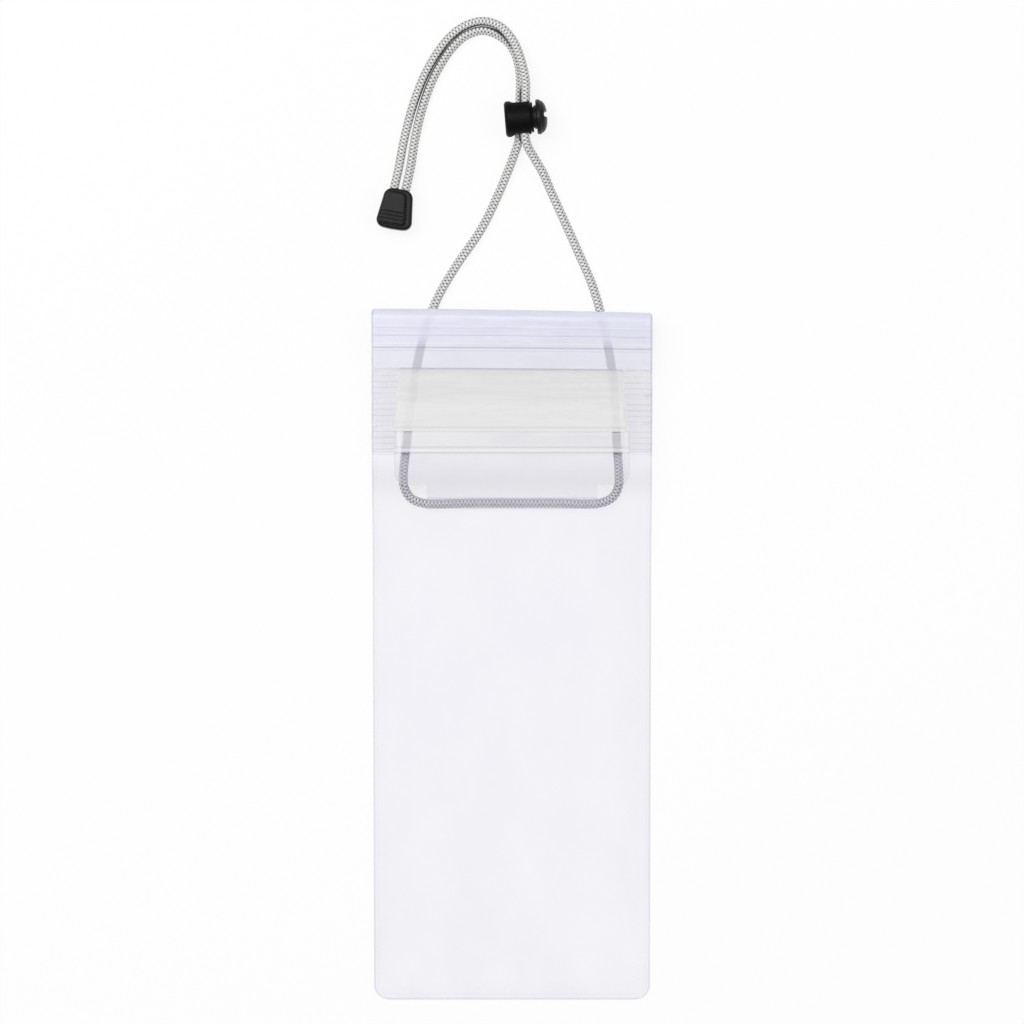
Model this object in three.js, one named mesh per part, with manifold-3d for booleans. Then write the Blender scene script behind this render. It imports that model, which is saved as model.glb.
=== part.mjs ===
// A waterproof phone pouch of clear film, closed and lying on its back, with its neck cord.
// Millimetres, +Z up. +Y points to the folded top of the pouch, and its front looks up.
// The origin is under the middle of the pouch, on the surface that it lies on.
import * as THREE from "three";
import { mergeVertices } from "three/addons/utils/BufferGeometryUtils.js";
import Module from "manifold-3d";

const wasm = await Module();
wasm.setup();

// Clearances
const seatGap = 0.3;
const filmGap = 0.3;

// Pouch
const pouchLength = 235.6;
const topWidth = 95.4;
const bottomWidth = 94;
const film = 0.35;
const weldWidth = 1.6;
const bottomCornerRadius = 5;
const topCornerRadius = 1.7;
const phoneSpaceHeight = 7.4;
const phoneSpaceSideSlope = 12.5;
const phoneSpaceBottomSlope = 34;
const riseLength = 36;
const riseClearOfFlap = 1.8;

// Folded flap, its three zips and its fastener
const flapLength = 50;
const zipCount = 3;
const zipStripWidth = 8.7;
const zipStripGap = 0.8;
const zipProud = 0.3;
const zipMouthMargin = 1.2;
const zipBase = 0.4;
const zipHeight = 1.8;
const zipRibsPerStrip = 4;
const zipRibPitch = 2;
const zipRibWidth = 0.6;
const patchWidth = 79;
const patchHeight = 20.6;
const patchThickness = 0.65;
const patchCornerRadius = 1.2;

// Neck cord and the loop of film that holds it
const cordDiameter = 3;
const cordSides = 8;
const cordSteps = 78;
const cordLift = 0.1;
const loopWidth = 58;
const loopTabMargin = 0.5;
const loopTabUnderFlap = 7.8;
const loopTabFreeLength = 10.3;
const loopBelowFlap = 16.3;

// Cord lock
const lockAboveLoop = 130.9;
const lockLeft = -2.45;
const lockRadius = 6.1;
const barrelLength = 8.75;
const collarLength = 0.9;
const collarRadius = 5.15;
const barrelFloor = 0.9;
const boreRadius = 4.4;
const stemRadius = 4.1;
const buttonTravel = 1.1;
const buttonLength = 3.7;
const buttonRadius = 5.95;
const buttonRim = 1.45;
const domeDepth = 2;
const stemWall = 0.6;
const lockedCordsLeft = 1.2;
const lockedCordsRight = 6.1;
const lockedCordsHeight = 5.5;
const springWire = 0.4;
const springLargeRadius = 3.3;
const springSmallRadius = 2.5;
const springTurns = 1.6;

// Cord end
const cordEndX = -39.4;
const cordEndAboveLoop = 100.1;
const cordEndTiltDegrees = -9.8;
const cordEndLength = 13.6;
const cordEndTopWidth = 9.2;
const cordEndBottomWidth = 12.2;
const cordEndHeight = 6.6;
const cordEndCornerRadius = 2.4;
const cordEndBulge = 0.8;
const cordEndEdge = 0.7;
const cordBoreRadius = 1.9;
const cordBoreDepth = 5.4;
const cordBoreSpacing = 3.9;
const coverTopWidth = 6.4;
const coverBottomWidth = 8.6;
const coverLength = 10.4;
const coverProud = 1.1;
const coverDepth = 1;
const coverCornerRadius = 1.3;
const coverLowered = 0.5;
const coverAside = 0.8;
const coverGrooves = 3;
const coverGroovePitch = 1.25;
const coverGrooveWidth = 0.6;
const coverGrooveDepth = 0.5;
const coverGrooveMargin = 1.9;

// Heights of the layers, worked out upwards from the surface under the cord
const cordTop = cordDiameter + cordLift;
const flapFrontZ = cordTop + seatGap + film / 2;
const zipBottom = flapFrontZ + film / 2 + seatGap;
const zipTop = zipBottom + zipHeight;
const flapBackZ = zipTop + seatGap + film / 2;
const hookPatchZ = flapBackZ + film / 2 + seatGap + patchThickness / 2;
const loopPatchZ = hookPatchZ + patchThickness + seatGap;
const backTopZ = loopPatchZ + patchThickness / 2 + seatGap + film / 2;
const sheetStep = film + filmGap;
const frontTopZ = backTopZ + sheetStep;
const backLowZ = film / 2;
const frontPlateauZ = backLowZ + film + phoneSpaceHeight;

const pouchTop = pouchLength / 2;
const pouchBottom = -pouchLength / 2;
const flapEnd = pouchTop - flapLength;
const foldY = pouchTop - film / 2 - (frontTopZ - flapFrontZ) / 2;
const riseEnd = flapEnd - riseClearOfFlap;
const riseStart = riseEnd - riseLength;
const loopCentreY = flapEnd - loopBelowFlap;
const loopTabWidth = patchWidth + 2 * loopTabMargin;
const lieZ = cordLift + cordDiameter / 2;
const loopZ = film + seatGap + cordDiameter / 2;
const zipRowTop = flapEnd + zipMouthMargin + zipCount * zipStripWidth + (zipCount - 1) * zipStripGap;

const clearFilm = new THREE.MeshStandardMaterial({ color: 0xe6e5f4, roughness: 0.15, metalness: 0 });
const zipPlastic = new THREE.MeshStandardMaterial({ color: 0xd9d8ee, roughness: 0.2, metalness: 0 });
const milkyFilm = new THREE.MeshStandardMaterial({ color: 0xe2e3e0, roughness: 0.45, metalness: 0 });
const braid = new THREE.MeshStandardMaterial({ color: 0xb9bbbd, roughness: 0.8, metalness: 0 });
const blackPlastic = new THREE.MeshStandardMaterial({ color: 0x1b1b1c, roughness: 0.45, metalness: 0 });
const steel = new THREE.MeshStandardMaterial({ color: 0xc4c6c9, roughness: 0.25, metalness: 1 });

const pouch = new THREE.Group();
const neckStrap = new THREE.Group();
neckStrap.position.y = loopCentreY;
pouch.add(neckStrap);

function addPart(name, geometry, material, parent = pouch) {
  const mesh = new THREE.Mesh(geometry, material);
  mesh.name = name;
  parent.add(mesh);
  return mesh;
}

function solidOf(geometry) {
  const bare = geometry.clone();
  bare.deleteAttribute("normal");
  bare.deleteAttribute("uv");
  const merged = mergeVertices(bare, 1e-4);
  return new wasm.Manifold(
    new wasm.Mesh({
      numProp: 3,
      vertProperties: merged.attributes.position.array,
      triVerts: new Uint32Array(merged.index.array),
    }),
  );
}

function geometryOf(solid) {
  const mesh = solid.getMesh();
  const geometry = new THREE.BufferGeometry();
  geometry.setAttribute("position", new THREE.BufferAttribute(mesh.vertProperties, 3));
  geometry.setIndex(new THREE.BufferAttribute(mesh.triVerts, 1));
  return geometry;
}

function cut(geometry, ...tools) {
  let solid = solidOf(geometry);
  for (const tool of tools) solid = solid.subtract(solidOf(tool));
  return geometryOf(solid);
}

// 0 before start, 1 after end, and a smooth S between them
function smoothBetween(value, start, end) {
  const share = Math.min(1, Math.max(0, (value - start) / (end - start)));
  return share * share * (3 - 2 * share);
}

function evenly(start, end, count) {
  return Array.from({ length: count + 1 }, (_, i) => start + ((end - start) * i) / count);
}

// A thin sheet as a closed solid: place() puts each crossing of a column and a row on
// the lower face (side -0.5) or the upper face (side 0.5).
function sheetGeometry(columns, rows, place) {
  const box = new THREE.BoxGeometry(1, 1, 1, columns.length - 1, rows.length - 1, 1);
  const position = box.getAttribute("position");
  for (let i = 0; i < position.count; i++) {
    const column = columns[Math.round((position.getX(i) + 0.5) * (columns.length - 1))];
    const row = rows[Math.round((position.getY(i) + 0.5) * (rows.length - 1))];
    const point = place(column, row, position.getZ(i));
    position.setXYZ(i, ...point);
  }
  return box;
}

// Rows of a strip in the YZ plane, each with the direction of its upper face
function rowsAlong(points) {
  return points.map((point, i) => {
    const before = points[Math.max(0, i - 1)];
    const after = points[Math.min(points.length - 1, i + 1)];
    const along = after.clone().sub(before).normalize();
    return { y: point.x, z: point.y, upY: -along.y, upZ: along.x };
  });
}

function arcPoints(centreY, centreZ, radius, startDegrees, endDegrees, count) {
  return evenly(startDegrees, endDegrees, count).map((degrees) => {
    const angle = THREE.MathUtils.degToRad(degrees);
    return new THREE.Vector2(centreY + radius * Math.cos(angle), centreZ + radius * Math.sin(angle));
  });
}

function backLevel(y) {
  return backLowZ + (backTopZ - backLowZ) * smoothBetween(y, riseStart, riseEnd);
}

// Height of the front sheet along the middle of the pouch
function frontMiddleLevel(y) {
  const edge = backLevel(y) + sheetStep;
  const plateau = frontPlateauZ + (frontTopZ - frontPlateauZ) * smoothBetween(y, riseStart, riseEnd);
  const slopeStart = pouchBottom + weldWidth;
  return edge + (plateau - edge) * smoothBetween(y, slopeStart, slopeStart + phoneSpaceBottomSlope);
}

function widthAt(y) {
  return bottomWidth + ((topWidth - bottomWidth) * (y - pouchBottom)) / pouchLength;
}

function cornerInset(distanceToEnd, radius) {
  const inside = Math.min(radius, Math.max(0, distanceToEnd));
  return radius - Math.sqrt(radius * radius - (radius - inside) ** 2);
}

function halfWidthAt(y) {
  const bottomInset = cornerInset(y - pouchBottom, bottomCornerRadius);
  const topInset = cornerInset(pouchTop - y, topCornerRadius);
  return widthAt(y) / 2 - bottomInset - topInset;
}

const cornerStations = [0, 0.4, 1.1, 2.2, 3.5, bottomCornerRadius].map((d) => pouchBottom + d);
const slopeStations = evenly(pouchBottom + weldWidth + 6, pouchBottom + weldWidth + phoneSpaceBottomSlope, 6);
const riseStations = evenly(riseStart, riseEnd, 8);

// Centreline of a sheet: up the body, round the fold at the top and down the flap
function foldedRows(level, topZ, flapZ, bodyStations) {
  const foldRadius = (topZ - flapZ) / 2;
  const stations = [...bodyStations, ...evenly(flapEnd + 1, foldY - 1, 3)];
  const body = stations.map((y) => new THREE.Vector2(y, level(y)));
  const fold = arcPoints(foldY, (topZ + flapZ) / 2, foldRadius, 90, -90, 10);
  const flap = evenly(foldY - 1, flapEnd, 3).map((y) => new THREE.Vector2(y, flapZ));
  return rowsAlong([...body, ...fold, ...flap]);
}

// Front sheet: raised over the phone space, and the outside of the fold
function frontSheet() {
  const sideStations = [0, weldWidth, ...evenly(weldWidth + 2.5, weldWidth + phoneSpaceSideSlope, 4)];
  const slopeEnd = sideStations[sideStations.length - 1];
  const left = sideStations.map((inset) => ({ side: -1, inset }));
  const right = sideStations.map((inset) => ({ side: 1, inset })).reverse();
  const columns = [...left, { side: 0, inset: 0 }, ...right];
  const bodyStations = [...cornerStations, ...slopeStations, -45, -8, ...riseStations];
  const rows = foldedRows((y) => backLevel(y) + sheetStep, frontTopZ, flapFrontZ, bodyStations);
  return sheetGeometry(columns, rows, (column, row, side) => {
    const x = column.side * (halfWidthAt(row.y) - column.inset);
    const inset = column.side === 0 ? slopeEnd : column.inset;
    const middle = frontMiddleLevel(row.y) - (backLevel(row.y) + sheetStep);
    const raised = row.y < riseEnd ? middle * smoothBetween(inset, weldWidth, slopeEnd) : 0;
    const upright = raised > 0;
    const upY = upright ? 0 : row.upY;
    const upZ = upright ? 1 : row.upZ;
    return [x, row.y + upY * side * film, row.z + raised + upZ * side * film];
  });
}

// Back sheet: flat on the surface, then up over the flap, and the inside of the fold
function backSheet() {
  const bodyStations = [...cornerStations, -45, ...riseStations];
  const rows = foldedRows(backLevel, backTopZ, flapBackZ, bodyStations);
  return sheetGeometry([-1, 0, 1], rows, (column, row, side) => {
    const offset = side * film;
    return [column * halfWidthAt(row.y), row.y + row.upY * offset, row.z + row.upZ * offset];
  });
}

// One strip of a zip: a flat base with rails across it, drawn in YZ and extruded along X
function zipStrip(length) {
  const railHeight = zipHeight - 2 * zipBase - seatGap;
  const start = -zipStripWidth / 2;
  // half a rail's pitch off the middle in all, so that a strip turned over meshes with it
  const firstRail = -((zipRibsPerStrip - 1) * zipRibPitch) / 2 - zipRibPitch / 4;
  const outline = new THREE.Shape();
  outline.moveTo(start, 0);
  outline.lineTo(-start, 0);
  outline.lineTo(-start, zipBase);
  for (let i = zipRibsPerStrip - 1; i >= 0; i--) {
    const middle = firstRail + i * zipRibPitch;
    outline.lineTo(middle + zipRibWidth / 2, zipBase);
    outline.lineTo(middle + zipRibWidth / 2, zipBase + railHeight);
    outline.lineTo(middle - zipRibWidth / 2, zipBase + railHeight);
    outline.lineTo(middle - zipRibWidth / 2, zipBase);
  }
  outline.lineTo(start, zipBase);
  const strip = new THREE.ExtrudeGeometry(outline, { depth: length, bevelEnabled: false });
  strip.translate(0, 0, -length / 2);
  // drawn as (Y, Z), extruded along X
  strip.rotateY(Math.PI / 2);
  strip.rotateX(Math.PI / 2);
  return strip;
}

function addZips() {
  const names = ["upper", "middle", "lower"];
  for (let i = 0; i < zipCount; i++) {
    const name = names[i] ?? `number_${i + 1}`;
    const y = zipRowTop - zipStripWidth / 2 - i * (zipStripWidth + zipStripGap);
    const strip = zipStrip(widthAt(y) + 2 * zipProud);
    const outer = addPart(`zip_${name}_outer_strip`, strip, zipPlastic);
    outer.position.set(0, y, zipBottom);
    const inner = addPart(`zip_${name}_inner_strip`, strip, zipPlastic);
    inner.rotation.x = Math.PI;
    inner.position.set(0, y, zipTop);
  }
}

function roundedRectangle(width, height, radius) {
  const shape = new THREE.Shape();
  const x = width / 2 - radius;
  const y = height / 2 - radius;
  shape.absarc(x, y, radius, 0, Math.PI / 2);
  shape.absarc(-x, y, radius, Math.PI / 2, Math.PI);
  shape.absarc(-x, -y, radius, Math.PI, Math.PI * 1.5);
  shape.absarc(x, -y, radius, Math.PI * 1.5, Math.PI * 2);
  return shape;
}

function plate(width, height, radius, thickness) {
  const shape = roundedRectangle(width, height, radius);
  return new THREE.ExtrudeGeometry(shape, { depth: thickness, bevelEnabled: false, curveSegments: 4 });
}

// The two halves of the hook and loop fastener that hold the flap to the back
function addPatches() {
  const y = zipRowTop - patchHeight / 2;
  const patch = plate(patchWidth, patchHeight, patchCornerRadius, patchThickness);
  addPart("flap_hook_patch", patch, milkyFilm).position.set(0, y, hookPatchZ - patchThickness / 2);
  addPart("back_loop_patch", patch, milkyFilm).position.set(0, y, loopPatchZ - patchThickness / 2);
}

// Film tab on the back whose lower end is turned round the neck cord
function cordLoop() {
  const loopRadius = cordDiameter / 2 + seatGap + film / 2;
  const underBack = (y) => new THREE.Vector2(y, backLevel(y) - film - seatGap);
  const tab = evenly(flapEnd + loopTabUnderFlap, flapEnd - loopTabFreeLength, 5).map(underBack);
  const loop = arcPoints(loopCentreY, loopZ, loopRadius, 118, 372, 12);
  const rows = rowsAlong([...tab, ...loop]);
  const tabRows = tab.length - 1;
  const columns = [-1, 1];
  return sheetGeometry(columns, rows, (column, row, side) => {
    const width = rows.indexOf(row) < tabRows ? loopTabWidth : loopWidth;
    const offset = side * film;
    return [(column * width) / 2, row.y + row.upY * offset, row.z + row.upZ * offset];
  });
}

// Route of the neck cord, with Y counted from the loop: from the cord end round the neck,
// through the lock, behind the pouch, through its loop of film and back the same way
const cordRoute = [
  [-40.9, 102.9, 3.3],
  [-40.1, 107.3, 3.3],
  [-38.5, 114.6, 2.6],
  [-37.1, 122.4, 1.8],
  [-35.1, 130.9, lieZ],
  [-32.9, 138.1, lieZ],
  [-29.7, 146, lieZ],
  [-25.6, 153.2, lieZ],
  [-21.2, 158.8, lieZ],
  [-16.1, 162.6, lieZ],
  [-9.9, 164.2, 1.9],
  [-4, 162.3, 3],
  [0.4, 157.3, 4.4],
  [3, 150.9, 5.6],
  [4.6, 143.6, 6.9],
  [4.6, 137.6, 7.4],
  [4.6, 130.9, 7.4],
  [4.4, 125, 7.2],
  [5.3, 121.4, 6.4],
  [7.6, 117.4, 5],
  [10.6, 112.3, 3.4],
  [13.1, 106.6, 2],
  [16.3, 99.5, lieZ],
  [22.4, 85.9, lieZ],
  [27.8, 73, lieZ],
  [31.6, 58.8, lieZ],
  [34, 45.9, lieZ],
  [35.2, 31.5, lieZ],
  [35.8, 19.5, lieZ],
  [36.4, 10.5, 1.8],
  [36.3, 5.7, loopZ],
  [34.2, 1.9, loopZ],
  [30, 0, loopZ],
  [15, 0, loopZ],
  [0, 0, loopZ],
  [-15, 0, loopZ],
  [-30.4, 0, loopZ],
  [-34.7, 1.9, loopZ],
  [-36.8, 5.7, loopZ],
  [-37, 10.5, 1.8],
  [-36, 19.5, lieZ],
  [-34.8, 31.5, lieZ],
  [-32.6, 45.9, lieZ],
  [-29.6, 58.8, lieZ],
  [-25.6, 69.5, lieZ],
  [-19.5, 80.1, lieZ],
  [-10.3, 93.7, lieZ],
  [-4.1, 106.6, lieZ],
  [-1.4, 113.1, 2],
  [0.9, 119.1, 3.3],
  [2.2, 123.1, 4.5],
  [2.6, 126.2, 4.8],
  [2.7, 130.9, 4.8],
  [2.7, 138.6, 4.8],
  [2.8, 144, 3.5],
  [2.4, 148.5, 2.1],
  [0.9, 153.6, lieZ],
  [-2.2, 157.8, lieZ],
  [-9.28, 161.02, lieZ],
  [-15.55, 159.41, lieZ],
  [-20.3, 155.24, lieZ],
  [-24.11, 149.82, lieZ],
  [-27.49, 143.3, lieZ],
  [-30.1, 136.1, lieZ],
  [-31.97, 129.07, lieZ],
  [-33.29, 122.57, 1.8],
  [-34.5, 114.48, 2.6],
  [-36.19, 106.7, 3.3],
  [-37.1, 102.3, 3.3],
];

function neckCord() {
  const points = cordRoute.map((point) => new THREE.Vector3(...point));
  const route = new THREE.CatmullRomCurve3(points, false, "centripetal");
  const section = new THREE.Shape();
  for (let i = 0; i < cordSides; i++) {
    const angle = (i / cordSides) * Math.PI * 2;
    const x = (cordDiameter / 2) * Math.cos(angle);
    const y = (cordDiameter / 2) * Math.sin(angle);
    if (i === 0) section.moveTo(x, y);
    else section.lineTo(x, y);
  }
  section.closePath();
  return new THREE.ExtrudeGeometry(section, { steps: cordSteps, extrudePath: route, bevelEnabled: false });
}

// A round solid about the X axis, from a profile of [along X, radius] points
function turned(profile, segments) {
  const points = profile.map(([along, radius]) => new THREE.Vector2(radius, along));
  const lathe = new THREE.LatheGeometry(points, segments);
  lathe.rotateZ(-Math.PI / 2);
  return lathe;
}

// A slot along Y through the whole lock
function cordSlot(left, right, height) {
  const width = right - left;
  const depth = lockRadius * 4;
  const slot = plate(width, height, cordDiameter / 2 + seatGap, depth);
  slot.rotateX(Math.PI / 2);
  slot.translate((left + right) / 2, depth / 2, 0);
  return slot;
}

// The lock lies on its side with its button to the right; X is counted from the
// barrel's closed end
function addCordLock() {
  const lock = new THREE.Group();
  lock.position.set(lockLeft, lockAboveLoop, lockRadius);
  neckStrap.add(lock);

  const barrelEnd = barrelLength + collarLength;
  const edge = 0.6;
  const barrelBody = turned(
    [
      [0, 0],
      [0, lockRadius - edge],
      [edge, lockRadius],
      [barrelLength - edge / 2, lockRadius],
      [barrelLength, lockRadius - edge / 2],
      [barrelLength, collarRadius],
      [barrelEnd, collarRadius],
      [barrelEnd, boreRadius],
      [barrelFloor, boreRadius],
      [barrelFloor, 0],
    ],
    32,
  );
  const cordsLeft = lockedCordsLeft - lockLeft;
  const cordsRight = lockedCordsRight - lockLeft;
  const slotHeight = lockedCordsHeight + 2 * seatGap;
  const barrelSlot = cordSlot(cordsLeft - seatGap - buttonTravel, cordsRight + seatGap, slotHeight);
  addPart("lock_barrel", cut(barrelBody, barrelSlot), blackPlastic, lock);

  const stemStart = cordsLeft - seatGap - stemWall;
  const headStart = barrelEnd + buttonTravel;
  const headEnd = headStart + buttonLength;
  const button = turned(
    [
      [stemStart, 0],
      [stemStart, stemRadius],
      [headStart, stemRadius],
      [headStart, buttonRadius - edge / 2],
      [headStart + edge / 2, buttonRadius],
      [headStart + buttonRim, buttonRadius],
      [headStart + buttonRim + edge / 2, buttonRadius - edge / 2],
      [headEnd - domeDepth * 0.55, buttonRadius * 0.84],
      [headEnd - domeDepth * 0.2, buttonRadius * 0.6],
      [headEnd, buttonRadius * 0.25],
      [headEnd, 0],
    ],
    32,
  );
  const stemSlot = cordSlot(cordsLeft - seatGap, cordsRight + seatGap + buttonTravel, slotHeight);
  addPart("lock_button", cut(button, stemSlot), blackPlastic, lock);

  const springStart = barrelFloor + seatGap + springWire / 2;
  const springEnd = stemStart - seatGap - springWire / 2;
  const coils = evenly(0, 1, 22).map((share) => {
    const radius = springLargeRadius + (springSmallRadius - springLargeRadius) * share;
    const angle = share * springTurns * Math.PI * 2;
    const along = springStart + (springEnd - springStart) * share;
    return new THREE.Vector3(along, radius * Math.cos(angle), radius * Math.sin(angle));
  });
  const wire = new THREE.Shape();
  wire.absarc(0, 0, springWire / 2, 0, Math.PI * 2);
  const spring = new THREE.ExtrudeGeometry(wire, {
    steps: 32,
    extrudePath: new THREE.CatmullRomCurve3(coils),
    bevelEnabled: false,
    curveSegments: 6,
  });
  addPart("lock_spring", spring, steel, lock);
}

// Outline of the cord end and of its cover: narrower at the top, with round corners and
// a lower edge that bulges
function taperedOutline(topWidth, bottomWidth, length, radius, bulge) {
  const top = length / 2;
  const topHalf = topWidth / 2;
  const bottomHalf = bottomWidth / 2;
  const lean = ((bottomHalf - topHalf) * radius) / length;
  const outline = new THREE.Shape();
  outline.moveTo(-topHalf + radius, top);
  outline.quadraticCurveTo(-topHalf, top, -topHalf - lean, top - radius);
  outline.lineTo(-bottomHalf + lean, -top + radius);
  outline.quadraticCurveTo(-bottomHalf, -top, -bottomHalf + radius, -top - bulge / 2);
  outline.quadraticCurveTo(0, -top - bulge * 1.5, bottomHalf - radius, -top - bulge / 2);
  outline.quadraticCurveTo(bottomHalf, -top, bottomHalf - lean, -top + radius);
  outline.lineTo(topHalf + lean, top - radius);
  outline.quadraticCurveTo(topHalf, top, topHalf - radius, top);
  return outline;
}

// The piece that joins the two ends of the cord: a tapered block with two bores in its
// narrow end and a ribbed cover set into its face
function addCordEnd() {
  const end = new THREE.Group();
  end.position.set(cordEndX, cordEndAboveLoop, 0);
  end.rotation.z = THREE.MathUtils.degToRad(cordEndTiltDegrees);
  neckStrap.add(end);

  const outline = taperedOutline(
    cordEndTopWidth,
    cordEndBottomWidth,
    cordEndLength,
    cordEndCornerRadius,
    cordEndBulge,
  );
  const block = new THREE.ExtrudeGeometry(outline, {
    depth: cordEndHeight - 2 * cordEndEdge,
    bevelSize: cordEndEdge,
    bevelOffset: -cordEndEdge,
    bevelThickness: cordEndEdge,
    bevelSegments: 2,
    curveSegments: 4,
  });
  block.translate(0, 0, cordEndEdge);

  const bores = [-1, 1].map((side) => {
    const bore = new THREE.CylinderGeometry(cordBoreRadius, cordBoreRadius, 2 * cordBoreDepth, 16);
    bore.translate((side * cordBoreSpacing) / 2, cordEndLength / 2, cordEndHeight / 2);
    return bore;
  });
  const pocketOutline = taperedOutline(
    coverTopWidth + 2 * seatGap,
    coverBottomWidth + 2 * seatGap,
    coverLength + 2 * seatGap,
    coverCornerRadius + seatGap,
    0,
  );
  const pocket = new THREE.ExtrudeGeometry(pocketOutline, {
    depth: cordEndHeight,
    bevelEnabled: false,
    curveSegments: 4,
  });
  pocket.translate(-coverAside, -coverLowered, cordEndHeight - coverDepth - seatGap);
  addPart("cord_end_shell", cut(block, ...bores, pocket), blackPlastic, end);

  const lowestGroove = -coverLength / 2 + coverGrooveMargin;
  const grooves = Array.from({ length: coverGrooves }, (_, i) => {
    const groove = new THREE.BoxGeometry(2 * coverBottomWidth, coverGrooveWidth, 2 * coverGrooveDepth);
    groove.translate(0, lowestGroove + i * coverGroovePitch, coverDepth + coverProud);
    return groove;
  });
  const slab = new THREE.ExtrudeGeometry(
    taperedOutline(coverTopWidth, coverBottomWidth, coverLength, coverCornerRadius, 0),
    { depth: coverDepth + coverProud, bevelEnabled: false, curveSegments: 4 },
  );
  const cover = addPart("cord_end_cover", cut(slab, ...grooves), blackPlastic, end);
  cover.position.set(-coverAside, -coverLowered, cordEndHeight - coverDepth);
}

addPart("front_sheet", frontSheet(), clearFilm);
addPart("back_sheet", backSheet(), clearFilm);
addZips();
addPatches();
addPart("cord_loop", cordLoop(), clearFilm);
addPart("neck_cord", neckCord(), braid, neckStrap);
addCordLock();
addCordEnd();

export default pouch;
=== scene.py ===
# A waterproof phone pouch of clear film, seen from straight above on a pale table
import math

import bmesh
import bpy
from mathutils import Matrix, Vector, noise
from mathutils.kdtree import KDTree


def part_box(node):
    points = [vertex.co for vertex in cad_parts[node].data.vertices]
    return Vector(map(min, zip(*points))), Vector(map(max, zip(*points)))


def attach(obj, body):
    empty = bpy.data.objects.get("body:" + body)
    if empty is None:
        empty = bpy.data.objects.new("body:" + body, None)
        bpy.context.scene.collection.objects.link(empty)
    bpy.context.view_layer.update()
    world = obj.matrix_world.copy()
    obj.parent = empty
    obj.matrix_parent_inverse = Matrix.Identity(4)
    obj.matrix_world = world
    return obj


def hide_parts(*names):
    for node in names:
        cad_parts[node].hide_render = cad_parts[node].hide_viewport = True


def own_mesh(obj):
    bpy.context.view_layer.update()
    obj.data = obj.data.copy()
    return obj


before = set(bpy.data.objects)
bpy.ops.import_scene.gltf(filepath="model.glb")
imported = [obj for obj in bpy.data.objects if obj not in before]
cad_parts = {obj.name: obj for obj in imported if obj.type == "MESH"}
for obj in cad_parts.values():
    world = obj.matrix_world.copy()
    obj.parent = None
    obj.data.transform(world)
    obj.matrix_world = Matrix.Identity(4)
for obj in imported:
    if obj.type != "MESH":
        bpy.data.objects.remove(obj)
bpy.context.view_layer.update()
MM = 0.001

# Camera, straight above the table
PHOTO_WIDTH = 348.2 * MM
PHOTO_CENTRE = (0, 48.45 * MM)
camera_data = bpy.data.cameras.new("camera")
camera_data.lens = 200
camera_data.sensor_width = 36
camera = bpy.data.objects.new("camera", camera_data)
camera.location = (*PHOTO_CENTRE, 6 * MM + PHOTO_WIDTH * camera_data.lens / camera_data.sensor_width)
bpy.context.scene.collection.objects.link(camera)
bpy.context.scene.camera = camera
bpy.context.scene.view_settings.view_transform = "Standard"

# Sizes of the pouch in millimetres, the same as in the part
POUCH_LENGTH = 235.6
POUCH_TOP = POUCH_LENGTH / 2
POUCH_BOTTOM = -POUCH_LENGTH / 2
TOP_WIDTH = 95.4
BOTTOM_WIDTH = 94
WELD = 1.6
BOTTOM_CORNER = 5
TOP_CORNER = 1.7
SIDE_SLOPE = 12.5
BOTTOM_SLOPE = 34
FLAP_END = 67.8
RISE_START = 30
RISE_END = 66
FLAP_FRONT_Z = 3.575
ZIP_BOTTOM_Z = 4.05
ZIP_TOP_Z = 5.85
FLAP_BACK_Z = 6.325
HOOK_Z = 7.125
LOOP_PATCH_Z = 8.075
BACK_TOP_Z = 8.875
FRONT_TOP_Z = 9.525
BACK_LOW_Z = 0.175
TAPE_TOP = 97.5
TAPE_HEIGHT = 21.7
SHEET_STEP = 0.65
PLATEAU_Z = 7.925
FOLD_Y = POUCH_TOP - 0.175 - (FRONT_TOP_Z - FLAP_FRONT_Z) / 2
CORD_DIAMETER = 3
ROUTE_STEP = 0.5

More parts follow.
